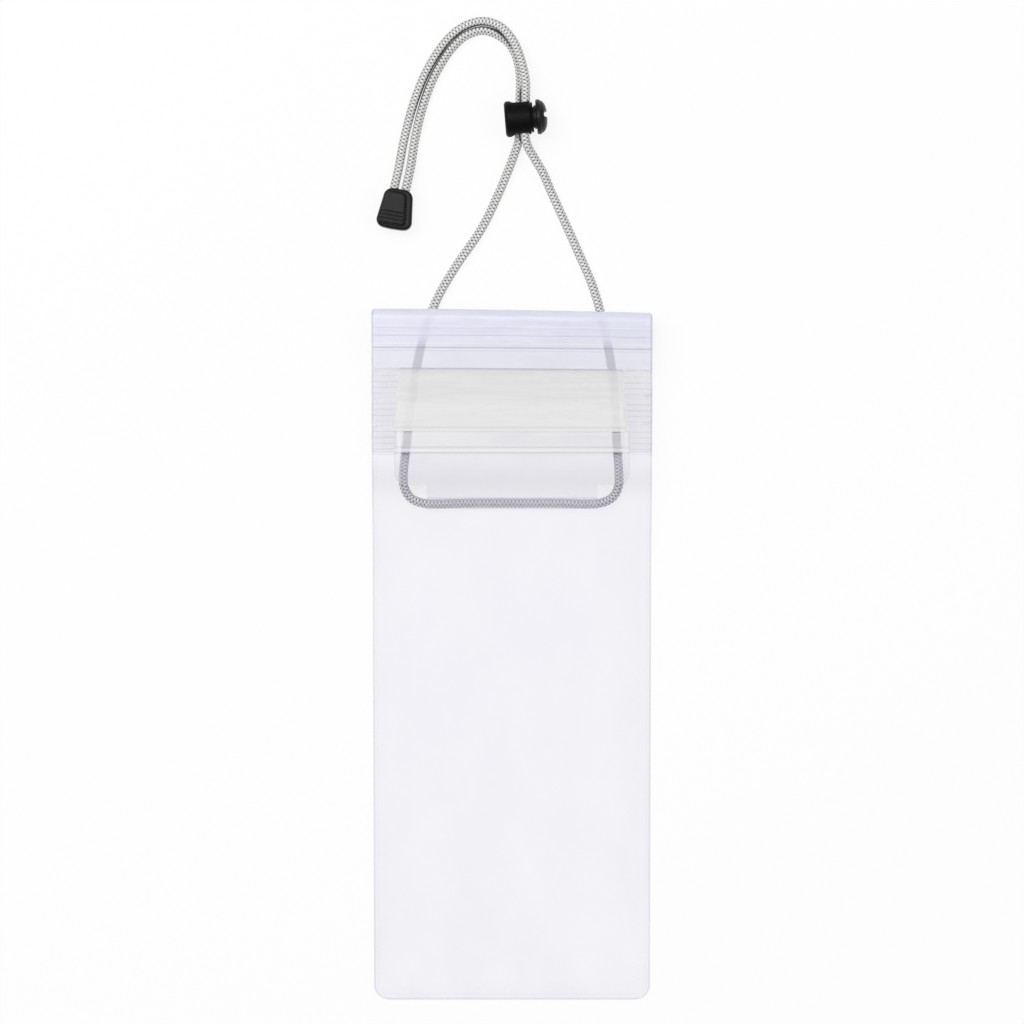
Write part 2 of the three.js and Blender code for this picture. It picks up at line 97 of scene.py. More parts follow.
# Route of the neck cord in millimetres, as in the part
LIE = 1.6
LOOP_Z = 2.15
LOOP_Y = 51.5
ROUTE = [
    (-40.9, 102.9, 3.3), (-40.1, 107.3, 3.3), (-38.5, 114.6, 2.6), (-37.1, 122.4, 1.8),
    (-35.1, 130.9, LIE), (-32.9, 138.1, LIE), (-29.7, 146, LIE), (-25.6, 153.2, LIE),
    (-21.2, 158.8, LIE), (-16.1, 162.6, LIE), (-9.9, 164.2, 1.9), (-4, 162.3, 3),
    (0.4, 157.3, 4.4), (3, 150.9, 5.6), (4.6, 143.6, 6.9), (4.6, 137.6, 7.4),
    (4.6, 130.9, 7.4), (4.4, 125, 7.2), (5.3, 121.4, 6.4), (7.6, 117.4, 5),
    (10.6, 112.3, 3.4), (13.1, 106.6, 2), (16.3, 99.5, LIE), (22.4, 85.9, LIE),
    (27.8, 73, LIE), (31.6, 58.8, LIE), (34, 45.9, LIE), (35.2, 31.5, LIE),
    (35.8, 19.5, LIE), (36.4, 10.5, 1.8), (36.3, 5.7, LOOP_Z), (34.2, 1.9, LOOP_Z),
    (30, 0, LOOP_Z), (15, 0, LOOP_Z), (0, 0, LOOP_Z), (-15, 0, LOOP_Z),
    (-30.4, 0, LOOP_Z), (-34.7, 1.9, LOOP_Z), (-36.8, 5.7, LOOP_Z), (-37, 10.5, 1.8),
    (-36, 19.5, LIE), (-34.8, 31.5, LIE), (-32.6, 45.9, LIE), (-29.6, 58.8, LIE),
    (-25.6, 69.5, LIE), (-19.5, 80.1, LIE), (-10.3, 93.7, LIE), (-4.1, 106.6, LIE),
    (-1.4, 113.1, 2), (0.9, 119.1, 3.3), (2.2, 123.1, 4.5), (2.6, 126.2, 4.8),
    (2.7, 130.9, 4.8), (2.7, 138.6, 4.8), (2.8, 144, 3.5), (2.4, 148.5, 2.1),
    (0.9, 153.6, LIE), (-2.2, 157.8, LIE), (-9.28, 161.02, LIE), (-15.55, 159.41, LIE),
    (-20.3, 155.24, LIE), (-24.11, 149.82, LIE), (-27.49, 143.3, LIE), (-30.1, 136.1, LIE),
    (-31.97, 129.07, LIE), (-33.29, 122.57, 1.8), (-34.5, 114.48, 2.6), (-36.19, 106.7, 3.3),
    (-37.1, 102.3, 3.3),
]
ROUTE_M = [Vector((x, y + LOOP_Y, z)) * MM for x, y, z in ROUTE]


def smooth_between(value, start, end):
    """0 before start, 1 after end, and a smooth S between them."""
    share = min(1, max(0, (value - start) / (end - start)))
    return share * share * (3 - 2 * share)


def evenly(start, end, count):
    return [start + (end - start) * i / count for i in range(count + 1)]


# Node trees: a socket or a plain value may go into each input
class Nodes:
    def __init__(self, tree):
        self.tree = tree

    def add(self, kind, **settings):
        made = self.tree.nodes.new(kind)
        for name, value in settings.items():
            setattr(made, name, value)
        return made

    def feed(self, socket, value):
        if isinstance(value, bpy.types.NodeSocket):
            self.tree.links.new(value, socket)
        elif value is not None:
            socket.default_value = value

    def maths(self, operation, first, second=None, clamp=False):
        made = self.add("ShaderNodeMath", operation=operation, use_clamp=clamp)
        self.feed(made.inputs[0], first)
        self.feed(made.inputs[1], second)
        return made.outputs[0]

    def ramp(self, value, start, end, low=0, high=1):
        made = self.add("ShaderNodeMapRange", interpolation_type="SMOOTHSTEP")
        for socket, given in zip(made.inputs, (value, start, end, low, high)):
            self.feed(socket, given)
        return made.outputs[0]

    def mix(self, share, first, second):
        made = self.add("ShaderNodeMix", data_type="RGBA")
        self.feed(made.inputs[0], share)
        self.feed(made.inputs[6], first)
        self.feed(made.inputs[7], second)
        return made.outputs[2]

    def mix_value(self, share, first, second):
        made = self.add("ShaderNodeMix", data_type="FLOAT")
        self.feed(made.inputs[0], share)
        self.feed(made.inputs[2], first)
        self.feed(made.inputs[3], second)
        return made.outputs[0]

    def place(self, stretch=(1, 1, 1)):
        """Object coordinates in millimetres, stretched."""
        where = self.add("ShaderNodeTexCoord").outputs["Object"]
        mapping = self.add("ShaderNodeMapping")
        self.feed(mapping.inputs["Vector"], where)
        mapping.inputs["Scale"].default_value = [1000 * s for s in stretch]
        return mapping.outputs[0]

    def noise(self, where, scale, detail=2, roughness=0.5):
        made = self.add("ShaderNodeTexNoise")
        self.feed(made.inputs["Vector"], where)
        self.feed(made.inputs["Scale"], scale)
        self.feed(made.inputs["Detail"], detail)
        self.feed(made.inputs["Roughness"], roughness)
        return made.outputs[0]

    def bump(self, height, distance, strength=1):
        made = self.add("ShaderNodeBump")
        made.inputs["Strength"].default_value = strength
        made.inputs["Distance"].default_value = distance
        self.feed(made.inputs["Height"], height)
        return made.outputs[0]

    def attribute(self, name):
        return self.add("ShaderNodeAttribute", attribute_name=name).outputs["Fac"]

    def group(self, tree, **values):
        made = self.add("ShaderNodeGroup", node_tree=tree)
        for name, value in values.items():
            self.feed(made.inputs[name.replace("_", " ")], value)
        return made.outputs


def new_group(name, inputs, outputs):
    """An empty node group; inputs and outputs are {name: starting value}."""
    tree = bpy.data.node_groups.new(name, "ShaderNodeTree")
    for label, value in inputs.items():
        kind = "NodeSocketVector" if isinstance(value, tuple) else "NodeSocketFloat"
        tree.interface.new_socket(label, in_out="INPUT", socket_type=kind)
        tree.interface.items_tree[label].default_value = value
    for label in outputs:
        tree.interface.new_socket(label, in_out="OUTPUT", socket_type="NodeSocketFloat")
    nodes = Nodes(tree)
    start = nodes.add("NodeGroupInput").outputs
    end = nodes.add("NodeGroupOutput").inputs
    return nodes, start, end


def pressed_line_group():
    """A thin line pressed across the film at one place along it."""
    nodes, given, result = new_group(
        "pressed_line",
        {"Along": 0.0, "Place": 0.0, "Half Width": 0.3, "Strength": 1.0},
        ["Mask"],
    )
    away = nodes.maths("SUBTRACT", given["Along"], given["Place"])
    mask = nodes.ramp(nodes.maths("ABSOLUTE", away), 0.0, given["Half Width"], given["Strength"], 0.0)
    nodes.feed(result["Mask"], mask)
    return nodes.tree


def welded_edge_group():
    """Painted shade on the outer rim and a painted highlight along the welded strip beside it, from the
    distance to the edge.
    """
    nodes, given, result = new_group(
        "welded_edge", {"Distance": 10.0, "Rim": 0.6, "Weld": 1.6}, ["Dark", "Bright"]
    )
    rim_start = nodes.maths("MULTIPLY", given["Rim"], 0.4)
    dark = nodes.ramp(given["Distance"], rim_start, given["Rim"], 1.0, 0.0)
    rise = nodes.ramp(given["Distance"], given["Rim"], nodes.maths("ADD", given["Rim"], 0.25), 0.0, 1.0)
    weld_end = nodes.maths("ADD", given["Weld"], 0.5)
    fall = nodes.ramp(given["Distance"], given["Weld"], weld_end, 1.0, 0.0)
    nodes.feed(result["Dark"], dark)
    nodes.feed(result["Bright"], nodes.maths("MULTIPLY", rise, fall))
    return nodes.tree


def soft_ripple_group():
    """Slow ripples and fine handling marks of a soft film."""
    nodes, given, result = new_group(
        "soft_ripple", {"Where": (0.0, 0.0, 0.0), "Wide": 0.03, "Fine": 0.4}, ["Height", "Cloud"]
    )
    wide = nodes.noise(given["Where"], given["Wide"], 3, 0.55)
    fine = nodes.noise(given["Where"], given["Fine"], 4, 0.6)
    both = nodes.maths("ADD", wide, nodes.maths("MULTIPLY", fine, 0.08))
    nodes.feed(result["Height"], both)
    nodes.feed(result["Cloud"], nodes.ramp(wide, 0.35, 0.65, 0.0, 1.0))
    return nodes.tree


def round_braid_group():
    """Strands that go over and under each other round a cord."""
    nodes, given, result = new_group(
        "round_braid", {"Around": 0.0, "Along": 0.0}, ["Height", "Gap Shade", "Strand"]
    )
    right = nodes.maths("ADD", given["Around"], given["Along"])
    left = nodes.maths("SUBTRACT", given["Around"], given["Along"])
    bows = []
    for side in (right, left):
        turn = nodes.maths("MULTIPLY", nodes.maths("FRACT", side), math.pi)
        bows.append(nodes.maths("SINE", turn))
    count = nodes.maths("ADD", nodes.maths("FLOOR", right), nodes.maths("FLOOR", left))
    over = nodes.maths("FLOORED_MODULO", count, 2.0)
    across = nodes.mix_value(over, bows[0], bows[1])
    ahead = nodes.mix_value(over, bows[1], bows[0])
    hump = nodes.maths("POWER", across, 0.6)
    lift = nodes.maths("ADD", nodes.maths("MULTIPLY", ahead, 0.45), 0.55)
    height = nodes.maths("MULTIPLY", hump, lift)
    nodes.feed(result["Height"], height)
    # painted shade in the low gaps and seams between the strands
    corner = nodes.ramp(nodes.maths("MAXIMUM", bows[0], bows[1]), 0.3, 0.85, 1.0, 0.0)
    seam = nodes.ramp(height, 0.15, 0.68, 0.62, 0.0)
    nodes.feed(result["Gap Shade"], nodes.maths("MAXIMUM", corner, seam))
    nodes.feed(result["Strand"], over)
    return nodes.tree


def moulded_grain_group():
    """Fine spark-eroded grain and soft scuffs of moulded plastic."""
    nodes, given, result = new_group(
        "moulded_grain", {"Where": (0.0, 0.0, 0.0), "Grain": 9.0, "Scuff": 0.5}, ["Height", "Wear"]
    )
    grain = nodes.noise(given["Where"], given["Grain"], 3, 0.6)
    cloud = nodes.noise(given["Where"], given["Scuff"], 4, 0.65)
    nodes.feed(result["Height"], grain)
    nodes.feed(result["Wear"], nodes.ramp(cloud, 0.42, 0.72, 0.0, 1.0))
    return nodes.tree


PRESSED_LINE = pressed_line_group()
WELDED_EDGE = welded_edge_group()
SOFT_RIPPLE = soft_ripple_group()
ROUND_BRAID = round_braid_group()
MOULDED_GRAIN = moulded_grain_group()


def new_material(name):
    material = bpy.data.materials.new(name)
    material.use_nodes = True
    nodes = Nodes(material.node_tree)
    shader = material.node_tree.nodes["Principled BSDF"]
    return material, nodes, shader.inputs


LAVENDER = (0.53, 0.50, 0.74, 1)
LAVENDER_LIGHT = (0.59, 0.56, 0.79, 1)
# Painted shade colour for the film's rims and pressed furrows
LAVENDER_SHADE = (0.27, 0.265, 0.34, 1)
# Painted highlight colour for the film's welded strips, pressed ridges and buckle
HIGHLIGHT_WHITE = (0.97, 0.97, 0.99, 1)
MILK = (1.0, 1.0, 0.955, 1)
MILK_SHADED = (0.925, 0.925, 0.885, 1)
CLEAR = (0.56, 0.53, 0.80)
DIM = (0.27, 0.26, 0.36)


def with_lines(nodes, mask, along, lines):
    """The mask with each (place along, half width, strength) line added to it."""
    for place, half, strength in lines:
        line = nodes.group(PRESSED_LINE, Along=along, Place=place, Half_Width=half, Strength=strength)
        mask = nodes.maths("MAXIMUM", mask, line["Mask"])
    return mask


def film_material(name, alpha, lines, highlight_lines, haze_and_painted_light=(), lens=None, weld_highlight=0.06, rim_shade=0.36):
    """Clear film; each line is (place along, half width, strength). The dark lines are painted shade in
    pressed furrows, and the highlight lines and the oval glint are painted highlights on pressed ridges
    and on a buckle in the film.
    Each stretch is (start along, end along, alpha, colour, length of its soft ends): hazier, clearer or
    dimmer film, and painted light over the front sheet's fold."""
    material, nodes, shader = new_material(name)
    along = nodes.attribute("along")
    edge = nodes.attribute("edge")
    rim = nodes.group(WELDED_EDGE, Distance=edge, Rim=0.8, Weld=1.7)
    ripple = nodes.group(SOFT_RIPPLE, Where=nodes.place((1, 0.6, 1)), Wide=0.045, Fine=0.5)
    # painted shade on the rim and in the pressed furrows
    dark = with_lines(nodes, nodes.maths("MULTIPLY", rim["Dark"], rim_shade), along, lines)
    # painted highlight along the welded strip and on the pressed ridges
    painted_highlight = with_lines(nodes, nodes.maths("MULTIPLY", rim["Bright"], weld_highlight), along, highlight_lines)
    # painted highlight: a soft oval glint where the film buckles
    if lens:
        centre, middle, half_length, half_width, strength = lens
        across = nodes.attribute("across")
        x = nodes.maths("DIVIDE", nodes.maths("SUBTRACT", across, middle), half_length)
        y = nodes.maths("DIVIDE", nodes.maths("SUBTRACT", along, centre), half_width)
        away = nodes.maths("ADD", nodes.maths("MULTIPLY", x, x), nodes.maths("MULTIPLY", y, y))
        painted_highlight = nodes.maths("MAXIMUM", painted_highlight, nodes.ramp(away, 0.3, 1.1, strength, 0.0))
    colour = nodes.mix(ripple["Cloud"], LAVENDER, LAVENDER_LIGHT)
    base = nodes.mix_value(ripple["Cloud"], alpha * 1.08, alpha * 0.9)
    side = nodes.ramp(edge, 0.5, 8.0, 0.022, 0.0)
    base = nodes.maths("ADD", base, side)
    # stretches of hazier, clearer or dimmer film, and painted light over the front sheet's fold
    for start, end, stretch_alpha, stretch_colour, fade in haze_and_painted_light:
        begun = nodes.ramp(along, start, start + fade, 0.0, 1.0)
        ending = nodes.ramp(along, end - fade, end, 1.0, 0.0)
        inside = nodes.maths("MULTIPLY", begun, ending)
        base = nodes.mix_value(inside, base, stretch_alpha)
        colour = nodes.mix(inside, colour, (*stretch_colour, 1))
    smear_noise = nodes.noise(nodes.place((0.22, 1, 1)), 0.3, 3, 0.55)
    smears = nodes.ramp(smear_noise, 0.42, 0.68, 0.0, 0.09)
    colour = nodes.mix(smears, colour, (0.36, 0.35, 0.62, 1))
    # the painted shade and painted highlights go into the film's colour
    colour = nodes.mix(dark, colour, LAVENDER_SHADE)
    colour = nodes.mix(painted_highlight, colour, HIGHLIGHT_WHITE)
    lined = nodes.maths("MULTIPLY", nodes.maths("MAXIMUM", dark, painted_highlight), 0.26)
    nodes.feed(shader["Base Color"], colour)
    nodes.feed(shader["Alpha"], nodes.maths("ADD", base, lined, clamp=True))
    nodes.feed(shader["Roughness"], nodes.mix_value(ripple["Cloud"], 0.14, 0.24))
    ridges = nodes.maths("MULTIPLY", painted_highlight, 0.3)
    furrows = nodes.maths("MULTIPLY", dark, 0.3)
    height = nodes.maths("ADD", ripple["Height"], nodes.maths("SUBTRACT", ridges, furrows))
    nodes.feed(shader["Normal"], nodes.bump(height, 0.0006, 0.5))
    shader["IOR"].default_value = 1.49
    return material


def zip_material(name, shade):
    """Clear, ribbed zip strip whose rails show as darker lines."""
    material, nodes, shader = new_material(name)
    rail = nodes.attribute("rail")
    edge = nodes.attribute("edge")
    cloud = nodes.group(SOFT_RIPPLE, Where=nodes.place((1, 3, 1)), Wide=0.09, Fine=0.9)
    side = nodes.ramp(rail, 0.1, 0.8, 0.0, 1.0)
    strip_edge = nodes.ramp(edge, 0.05, 0.45, 0.5, 0.0)
    dark = nodes.maths("MAXIMUM", nodes.maths("MULTIPLY", side, shade), strip_edge)
    patchy = nodes.maths("MULTIPLY", dark, nodes.mix_value(cloud["Cloud"], 0.5, 1.0))
    nodes.feed(shader["Base Color"], nodes.mix(patchy, LAVENDER, (0.27, 0.25, 0.42, 1)))
    ribbed = nodes.maths("MULTIPLY", patchy, 0.24)
    nodes.feed(shader["Alpha"], nodes.maths("ADD", 0.008, ribbed, clamp=True))
    nodes.feed(shader["Roughness"], nodes.mix_value(cloud["Cloud"], 0.18, 0.3))
    nodes.feed(shader["Normal"], nodes.bump(cloud["Height"], 0.0003, 0.4))
    return material


def patch_material(name, alpha, streak):
    """Milky hook and loop tape: short fibres, slow streaks across it and welded rims, which are thinner
    and carry a painted highlight.
    """
    material, nodes, shader = new_material(name)
    edge = nodes.attribute("edge")
    along = nodes.attribute("along")
    streaks = nodes.noise(nodes.place((0.09, 1, 1)), 0.38, 3, 0.5)
    fibres = nodes.noise(nodes.place((2.2, 5, 1)), 1.6, 3, 0.7)
    slow = nodes.ramp(streaks, 0.35, 0.68, 0.0, 1.0)
    upper = nodes.ramp(along, 8.0, 12.5, 0.0, 0.9)
    tone = nodes.mix(nodes.maths("MULTIPLY", slow, streak), MILK, MILK_SHADED)
    tone = nodes.mix(upper, tone, MILK_SHADED)
    tone = nodes.mix(nodes.maths("MULTIPLY", fibres, 0.06), tone, (0.70, 0.70, 0.66, 1))
    low_line = with_lines(nodes, 0.0, along, [(1.45, 0.45, 0.3)])
    tone = nodes.mix(low_line, tone, (0.50, 0.50, 0.47, 1))
    # the welded rims are thinner and painted with a highlight in a whiter colour
    rim = nodes.ramp(edge, 0.5, 1.3, 1.0, 0.0)
    tone = nodes.mix(rim, tone, (1.0, 1.0, 0.98, 1))
    nodes.feed(shader["Base Color"], tone)
    woven = nodes.maths("ADD", nodes.maths("MULTIPLY", slow, 0.10), alpha - 0.05, clamp=True)
    nodes.feed(shader["Alpha"], nodes.mix_value(rim, woven, 0.45 * alpha))
    nodes.feed(shader["Roughness"], nodes.mix_value(fibres, 0.5, 0.75))
    nodes.feed(shader["Normal"], nodes.bump(nodes.maths("ADD", fibres, streaks), 0.0001, 0.5))
    shader["Specular IOR Level"].default_value = 0.1
    return material


def braid_material():
    material, nodes, shader = new_material("silver_braid")
    uv = nodes.add("ShaderNodeUVMap", uv_map="braid").outputs[0]
    parts = nodes.add("ShaderNodeSeparateXYZ")
    nodes.feed(parts.inputs[0], uv)
    braid = nodes.group(ROUND_BRAID, Around=parts.outputs[0], Along=parts.outputs[1])
    stretch = nodes.add("ShaderNodeMapping")
    nodes.feed(stretch.inputs["Vector"], uv)
    stretch.inputs["Scale"].default_value = (9, 3, 1)
    yarn = nodes.noise(stretch.outputs[0], 2.2, 3, 0.7)
    slow = nodes.noise(nodes.place(), 0.12, 3, 0.6)
    strand = nodes.mix(braid["Strand"], (0.73, 0.73, 0.72, 1), (0.91, 0.91, 0.90, 1))
    strand = nodes.mix(nodes.maths("MULTIPLY", yarn, 0.3), strand, (0.62, 0.62, 0.62, 1))
    strand = nodes.mix(nodes.ramp(slow, 0.35, 0.7, 0.0, 0.2), strand, (0.66, 0.66, 0.65, 1))
    # painted shade, nearly black, in the gaps between the strands
    colour = nodes.mix(braid["Gap Shade"], strand, (0.04, 0.04, 0.042, 1))
    # painted contact shade: the cord goes nearly black on the side that faces a strand lying against it
    colour = nodes.mix(nodes.attribute("contact_shade"), colour, (0.028, 0.028, 0.029, 1))
    nodes.feed(shader["Base Color"], colour)
    nodes.feed(shader["Roughness"], nodes.mix_value(yarn, 0.42, 0.7))
    height = nodes.maths("ADD", braid["Height"], nodes.maths("MULTIPLY", yarn, 0.12))
    nodes.feed(shader["Normal"], nodes.bump(height, 0.0003, 0.8))
    shader["Sheen Weight"].default_value = 0.15
    return material


def black_plastic_material(name, dark, worn_grey, smoothest, shine):
    material, nodes, shader = new_material(name)
    grain = nodes.group(MOULDED_GRAIN, Where=nodes.place(), Grain=7.0, Scuff=0.45)
    worn = nodes.maths("MULTIPLY", grain["Wear"], 0.35)
    new_colour, worn_colour = (dark, dark, dark, 1), (worn_grey, worn_grey, worn_grey, 1)
    nodes.feed(shader["Base Color"], nodes.mix(worn, new_colour, worn_colour))
    nodes.feed(shader["Roughness"], nodes.mix_value(grain["Wear"], smoothest, smoothest + 0.12))
    nodes.feed(shader["Normal"], nodes.bump(grain["Height"], 0.00005, 0.55))
    shader["Specular IOR Level"].default_value = shine
    return material


def spring_material():
    material, nodes, shader = new_material("spring_wire")
    drawn = nodes.noise(nodes.place((6, 1, 1)), 2.0, 3, 0.6)
    nodes.feed(shader["Base Color"], nodes.mix(drawn, (0.66, 0.67, 0.69, 1), (0.50, 0.51, 0.53, 1)))
    nodes.feed(shader["Roughness"], nodes.mix_value(drawn, 0.22, 0.38))
    nodes.feed(shader["Normal"], nodes.bump(drawn, 0.00002, 0.5))
    shader["Metallic"].default_value = 1
    return material


# Pieces
def finish_piece(bm, name, material, body, nodes, smooth=True):
    """Turns a bmesh into a named piece that rides on a body and stands for CAD nodes."""
    mesh = bpy.data.meshes.new(name)
    bm.to_mesh(mesh)
    bm.free()
    for face in mesh.polygons:
        face.use_smooth = smooth
    mesh.materials.append(material)
    piece = bpy.data.objects.new(name, mesh)
    bpy.context.scene.collection.objects.link(piece)
    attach(piece, body)
    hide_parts(*nodes)
    return piece


def grid_numbers(bm, columns, rows):
    """Makes a grid and returns its vertices as [(vertex, column, row)]."""
    made = bmesh.ops.create_grid(bm, x_segments=columns - 1, y_segments=rows - 1, size=0.5)
    return [
        (vertex, round((vertex.co.x + 0.5) * (columns - 1)), round((vertex.co.y + 0.5) * (rows - 1)))
        for vertex in made["verts"]
    ]


def centripetal_route(points, step):
    """Points about one step apart on the smooth curve through all the points."""
    first = points[0] * 2 - points[1]
    last = points[-1] * 2 - points[-2]
    held = [first, *points, last]
    route = []
    for p0, p1, p2, p3 in zip(held, held[1:], held[2:], held[3:]):
        t1 = (p1 - p0).length ** 0.5
        t2 = t1 + (p2 - p1).length ** 0.5
        t3 = t2 + (p3 - p2).length ** 0.5
        count = max(1, round((p2 - p1).length / step))
        for i in range(count):
            t = t1 + (t2 - t1) * i / count
            a1 = p0.lerp(p1, t / t1)
            a2 = p1.lerp(p2, (t - t1) / (t2 - t1))
            a3 = p2.lerp(p3, (t - t2) / (t3 - t2))
            b1 = a1.lerp(a2, t / t2)
            b2 = a2.lerp(a3, (t - t1) / (t3 - t1))
            route.append(b1.lerp(b2, (t - t1) / (t2 - t1)))
    route.append(points[-1].copy())
    return route


def contact_shade_sides(route):
    """For each point of the cord, the way to a strand that lies against it, or nothing, for the painted
    contact shade.
    """
    touching, apart = 1.05 * CORD_DIAMETER * MM, 1.35 * CORD_DIAMETER * MM
    same_strand = 6 * CORD_DIAMETER
    tree = KDTree(len(route))
    for i, point in enumerate(route):
        tree.insert(point, i)
    tree.balance()
    sides = []
    for i, point in enumerate(route):
        near = [
            (away, route[j] - point) for _, j, away in tree.find_range(point, apart)
            if abs(i - j) * ROUTE_STEP > same_strand
        ]
        away, way = min(near, key=lambda pair: pair[0], default=(1, Vector()))
        sides.append(way.normalized() * (1 - smooth_between(away, touching, apart)))
    return sides


def build_neck_cord(material):
    around = 28
    strands_round = 4
    braid_step = 1.26 * MM
    route = centripetal_route(ROUTE_M, ROUTE_STEP * MM)
    radius = CORD_DIAMETER / 2 * MM
    bm = bmesh.new()
    uv = bm.loops.layers.uv.new("braid")
    contact_shade = bm.verts.layers.float.new("contact_shade")
    contact_sides = contact_shade_sides(route)
    sides, ups, lengths = [], [], [0.0]
    side = Vector((1, 0, 0))
    for i, point in enumerate(route):
        ahead = (route[min(i + 1, len(route) - 1)] - route[max(i - 1, 0)]).normalized()
        side = (side - ahead * side.dot(ahead)).normalized()
        sides.append(side)
        ups.append(ahead.cross(side))
        if i:
            lengths.append(lengths[-1] + (point - route[i - 1]).length)
    places = {}
    for vertex, column, row in grid_numbers(bm, around + 1, len(route)):
        angle = -2 * math.pi * column / around
        spoke = sides[row] * math.cos(angle) + ups[row] * math.sin(angle)
        vertex.co = route[row] + spoke * radius
        # painted contact shade, strongest on the side that faces a strand lying against this one
        vertex[contact_shade] = smooth_between(spoke.dot(contact_sides[row]), 0.5, 0.88)
        places[vertex] = (strands_round * column / around, lengths[row] / braid_step)
    for face in bm.faces:
        for loop in face.loops:
            loop[uv].uv = places[loop.vert]
    bmesh.ops.remove_doubles(bm, verts=bm.verts, dist=0.01 * MM)
    bmesh.ops.holes_fill(bm, edges=[e for e in bm.edges if e.is_boundary], sides=0)
    bmesh.ops.recalc_face_normals(bm, faces=bm.faces)
    piece = finish_piece(bm, "braided_neck_cord", material, "pouch", ["neck_cord"])
    return piece, route, lengths[-1]


# The film sheets, on the same folded path as in the part
def back_level(y):
    return BACK_LOW_Z + (BACK_TOP_Z - BACK_LOW_Z) * smooth_between(y, RISE_START, RISE_END)


def front_rise(y):
    """How far the middle of the front sheet stands above its welded edges."""
    edge = back_level(y) + SHEET_STEP
    plateau = PLATEAU_Z + (FRONT_TOP_Z - PLATEAU_Z) * smooth_between(y, RISE_START, RISE_END)
    start = POUCH_BOTTOM + WELD
    return (plateau - edge) * smooth_between(y, start, start + BOTTOM_SLOPE)


def corner_inset(distance, radius):
    inside = min(radius, max(0, distance))
    return radius - math.sqrt(radius * radius - (radius - inside) ** 2)


def half_width_at(y):
    width = BOTTOM_WIDTH + (TOP_WIDTH - BOTTOM_WIDTH) * (y - POUCH_BOTTOM) / POUCH_LENGTH
    corners = corner_inset(y - POUCH_BOTTOM, BOTTOM_CORNER) + corner_inset(POUCH_TOP - y, TOP_CORNER)
    return width / 2 - corners


def lean(x, y):
    """The folded top runs a little lower towards the right."""
    share = max(0, (x + TOP_WIDTH / 2) / TOP_WIDTH) ** 1.7
    slow = 0.7 * smooth_between(y, FLAP_END - 4, 100)
    return -share * (slow + 0.8 * smooth_between(y, 104, POUCH_TOP))


def body_stations():
    corner = [POUCH_BOTTOM + d for d in (0, 0.25, 0.7, 1.2, 1.6, 2.1, 2.9, 3.9, BOTTOM_CORNER)]
    return corner + evenly(POUCH_BOTTOM + 7, FOLD_Y - 1, 92)


BODY_STATIONS = body_stations()
FLAP_STATIONS = evenly(FOLD_Y - 1, FLAP_END, 44)


def folded_rows(level, top_z, flap_z):
    """Rows of a sheet: (y, z, distance along), up the body and down the flap."""
    radius = (top_z - flap_z) / 2
    middle = (top_z + flap_z) / 2
    points = [(y, level(y)) for y in BODY_STATIONS]
    for degrees in evenly(90, -90, 14):
        angle = math.radians(degrees)
        points.append((FOLD_Y + radius * math.cos(angle), middle + radius * math.sin(angle)))
    points += [(y, flap_z) for y in FLAP_STATIONS]
    rows = []
    along = 0.0
    for before, (y, z) in zip([points[0], *points], points):
        along += math.hypot(y - before[0], z - before[1])
        rows.append((y, z, along))
    return rows


def columns_of():
    fine = [0, 0.4, 0.8, 1.2, WELD, 2.1, 2.8]
    slope = evenly(3.6, WELD + SIDE_SLOPE, 8)
    return fine + slope


def build_sheet(name, rows, rises, ripple, material, nodes):
    """A film sheet; its columns keep their distance from the side edges."""
    insets = columns_of()
    middle = evenly(-1, 1, 14)[1:-1]
    columns = [(-1, inset, 0) for inset in insets] + [(0, 0, m) for m in middle]
    columns += [(1, inset, 0) for inset in reversed(insets)]
    bm = bmesh.new()
    layers = {key: bm.verts.layers.float.new(key) for key in ("along", "across", "edge")}
    for vertex, column, row in grid_numbers(bm, len(columns), len(rows)):
        side, inset, share = columns[column]
        y, z, along = rows[row]
        half = half_width_at(y)
        x = side * (half - inset) if side else share * (half - insets[-1])
        from_side = inset if side else insets[-1] + (1 - abs(share)) * (half - insets[-1])
        on_body = row < len(BODY_STATIONS)
        raised = 0
        if rises and on_body and y < RISE_END:
            raised = front_rise(y) * smooth_between(from_side, WELD, WELD + SIDE_SLOPE)
        slow = noise.noise(Vector((x * 0.05 + rows[0][1] * 9, y * 0.035, along * 0.01)))
        calm = smooth_between(from_side, 2, 10) * smooth_between(y, POUCH_BOTTOM, POUCH_BOTTOM + 12)
        wave = ripple * slow * calm * (1 - smooth_between(y, RISE_START, RISE_END - 10)) * on_body
        vertex.co = Vector((x, y + lean(x, y), z + raised + wave)) * MM
        vertex[layers["along"]] = along
        vertex[layers["across"]] = x
        vertex[layers["edge"]] = min(from_side, along)
    piece = finish_piece(bm, name, material, "pouch", nodes)
    return piece


